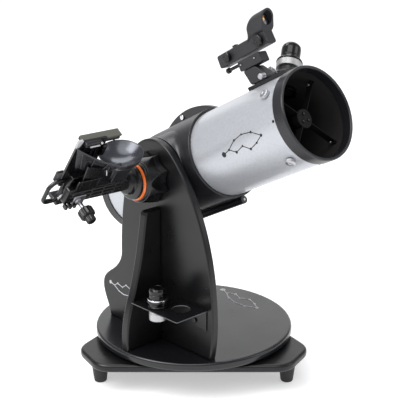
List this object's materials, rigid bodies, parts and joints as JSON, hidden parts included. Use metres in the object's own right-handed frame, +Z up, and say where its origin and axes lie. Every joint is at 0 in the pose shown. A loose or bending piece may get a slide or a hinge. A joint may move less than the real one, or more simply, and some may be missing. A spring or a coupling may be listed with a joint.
{
  "type": "tabletop dobsonian telescope",
  "caption": "Short reflecting telescope on a single-arm tabletop rocker with a rotating base, focuser, red dot finder, eyepiece tray and phone dock.",
  "frame": {"origin": "centre of the whole object's box on the floor that the three feet stand on", "axes": "+Z up, X along the altitude axis with the arm on the -X side, -Y towards the open end of the tube"},
  "size_m": [0.525, 0.5528, 0.7101],
  "materials": {
    "black_laminate": "satin black laminate board",
    "disc_laminate": "satin grey laminate board",
    "black_plastic": "fine moulded black plastic",
    "grey_plastic": "fine moulded dark grey plastic",
    "rubber": "matt black rubber",
    "pad_rubber": "matt grey rubber",
    "ptfe": "plain white",
    "silver_paint": "metallic silver paint",
    "matt_black_metal": "matt black paint",
    "steel": "bright turned",
    "chrome": "polished",
    "orange_plastic": "glossy orange",
    "mirror": "first surface",
    "coated_glass": "amber coated"
  },
  "bodies": {
    "base": {"ground_board": "black_laminate", "foot_1": "rubber", "foot_2": "rubber", "foot_3": "rubber", "glide_ring": "ptfe", "pivot_bolt": "steel", "pivot_nut": "steel"},
    "rocker": {"turntable": "disc_laminate", "side_board": "black_laminate", "rib_board": "black_laminate", "eyepiece_tray": "black_plastic"},
    "tray_thumbscrew": {"tray_screw": "steel"},
    "spare_eyepiece": {"spare_barrel": "chrome", "spare_body": "black_plastic"},
    "tension_control": {"tension_knob": "black_plastic", "knob_ring": "orange_plastic"},
    "tube_assembly": {"altitude_shaft": "steel", "bearing_washer": "ptfe", "saddle": "grey_plastic", "clamp_half": "grey_plastic", "clamp_pin": "steel", "clamp_bolt": "chrome", "tube": "silver_paint", "front_ring": "grey_plastic", "rear_cell": "grey_plastic", "mirror_cell": "black_plastic", "primary_mirror": "mirror", "spider": "matt_black_metal", "secondary_holder": "black_plastic", "secondary_mirror": "mirror", "spider_nut_1": "chrome", "spider_nut_2": "chrome", "spider_nut_3": "chrome", "spider_nut_4": "chrome", "focuser_base": "black_plastic", "finder_stalk": "grey_plastic", "finder_shoe": "grey_plastic", "dock_arm": "black_plastic", "mirror_housing": "grey_plastic", "dock_mirror": "mirror"},
    "focuser_tube": {"drawtube": "black_plastic", "drawtube_collar": "chrome", "eyepiece_clamp": "black_plastic"},
    "fitted_eyepiece": {"eyepiece": "black_plastic"},
    "focus_control": {"focus_knobs": "steel"},
    "lock_control": {"drawtube_lock_screw": "steel"},
    "bracket_thumbscrew": {"bracket_screw": "steel"},
    "finder": {"finder_body": "grey_plastic", "finder_lens": "coated_glass"},
    "finder_tilt_control": {"finder_tilt_screw": "steel"},
    "finder_dimmer": {"finder_dial_1": "black_plastic"},
    "finder_side_dial": {"finder_dial_2": "black_plastic"},
    "finder_power": {"finder_switch": "black_plastic"},
    "collimator_1": {"collimation_knob_1": "black_plastic"},
    "collimator_2": {"collimation_knob_2": "black_plastic"},
    "collimator_3": {"collimation_knob_3": "black_plastic"},
    "phone_carriage": {"phone_plate": "black_plastic"},
    "phone_jaw": {"upper_jaw": "black_plastic", "jaw_pad": "pad_rubber"},
    "dock_clamp": {"dock_knob": "black_plastic"}
  },
  "joints": [
    {"name": "azimuth", "type": "hinge", "parent": "base", "child": "rocker", "pos_m": [0.0675, 0.05878, 0.064], "axis": [0, 0, 1], "continuous": true},
    {"name": "altitude", "type": "hinge", "parent": "rocker", "child": "tube_assembly", "pos_m": [0.0675, 0.05878, 0.3995], "axis": [-1, 0, 0], "range_deg": [-26.5, 63.5]},
    {"name": "tension", "type": "hinge", "parent": "rocker", "child": "tension_control", "pos_m": [-0.0575, 0.05878, 0.3995], "axis": [1, 0, 0], "range_deg": [-180, 180]},
    {"name": "tray_screw_turn", "type": "hinge", "parent": "rocker", "child": "tray_thumbscrew", "pos_m": [-0.0395, -0.05622, 0.15], "axis": [1, 0, 0], "range_deg": [-180, 180]},
    {"name": "spare_lift", "type": "slide", "parent": "rocker", "child": "spare_eyepiece", "axis": [0, 0, 1], "range_m": [0, 0.06]},
    {"name": "focus_travel", "type": "slide", "parent": "tube_assembly", "child": "focuser_tube", "axis": [0.5736, 0.3655, 0.7331], "range_m": [-0.01, 0.02]},
    {"name": "focus_turn", "type": "hinge", "parent": "tube_assembly", "child": "focus_control", "pos_m": [0.12578, -0.09923, 0.5689], "axis": [0.8192, -0.2559, -0.5133], "range_deg": [-130, 260]},
    {"name": "eyepiece_lift", "type": "slide", "parent": "focuser_tube", "child": "fitted_eyepiece", "axis": [0.5736, 0.3655, 0.7331], "range_m": [0, 0.045]},
    {"name": "drawtube_lock", "type": "hinge", "parent": "tube_assembly", "child": "lock_control", "pos_m": [0.10236, -0.11141, 0.59603], "axis": [0.8192, -0.2559, -0.5133], "range_deg": [-180, 180]},
    {"name": "bracket_screw_turn", "type": "hinge", "parent": "tube_assembly", "child": "bracket_thumbscrew", "pos_m": [0.049, -0.12972, 0.5974], "axis": [1, 0, 0], "range_deg": [-180, 180]},
    {"name": "finder_tilt", "type": "hinge", "parent": "tube_assembly", "child": "finder", "pos_m": [0.069, -0.09376, 0.63143], "axis": [1, 0, 0], "range_deg": [-1, 1]},
    {"name": "finder_tilt_turn", "type": "hinge", "parent": "tube_assembly", "child": "finder_tilt_control", "pos_m": [0.069, -0.04318, 0.59839], "axis": [0, -0.8949, 0.4462], "range_deg": [-180, 180]},
    {"name": "dimmer", "type": "hinge", "parent": "finder", "child": "finder_dimmer", "pos_m": [0.054, -0.11391, 0.656], "axis": [1, 0, 0], "range_deg": [0, 270]},
    {"name": "side_dial", "type": "hinge", "parent": "finder", "child": "finder_side_dial", "pos_m": [0.054, -0.04052, 0.61942], "axis": [1, 0, 0], "range_deg": [-180, 180]},
    {"name": "power_switch", "type": "slide", "parent": "finder", "child": "finder_power", "axis": [0, -0.8949, 0.4462], "range_m": [0, 0.004]},
    {"name": "collimation_1", "type": "hinge", "parent": "tube_assembly", "child": "collimator_1", "pos_m": [0.069, 0.26545, 0.35457], "axis": [0, -0.8949, 0.4462], "range_deg": [-180, 180]},
    {"name": "collimation_2", "type": "hinge", "parent": "tube_assembly", "child": "collimator_2", "pos_m": [0.02397, 0.23064, 0.28476], "axis": [0, -0.8949, 0.4462], "range_deg": [-180, 180]},
    {"name": "collimation_3", "type": "hinge", "parent": "tube_assembly", "child": "collimator_3", "pos_m": [0.11403, 0.23064, 0.28476], "axis": [0, -0.8949, 0.4462], "range_deg": [-180, 180]},
    {"name": "carriage_slide", "type": "slide", "parent": "tube_assembly", "child": "phone_carriage", "axis": [1, 0, 0], "range_m": [-0.008, 0.004]},
    {"name": "jaw_slide", "type": "slide", "parent": "phone_carriage", "child": "phone_jaw", "axis": [0, -0.6018, 0.7986], "range_m": [-0.005, 0.03]},
    {"name": "dock_clamp_turn", "type": "hinge", "parent": "tube_assembly", "child": "dock_clamp", "pos_m": [-0.2095, 0.03783, 0.37745], "axis": [0, 0.7986, 0.6018], "range_deg": [-180, 180]}
  ],
  "couplings": [
    {"joint": "focus_turn", "follows": "focus_travel", "rad_per_m": 222.2},
    {"joint": "finder_tilt_turn", "follows": "finder_tilt", "ratio": 180}
  ]
}
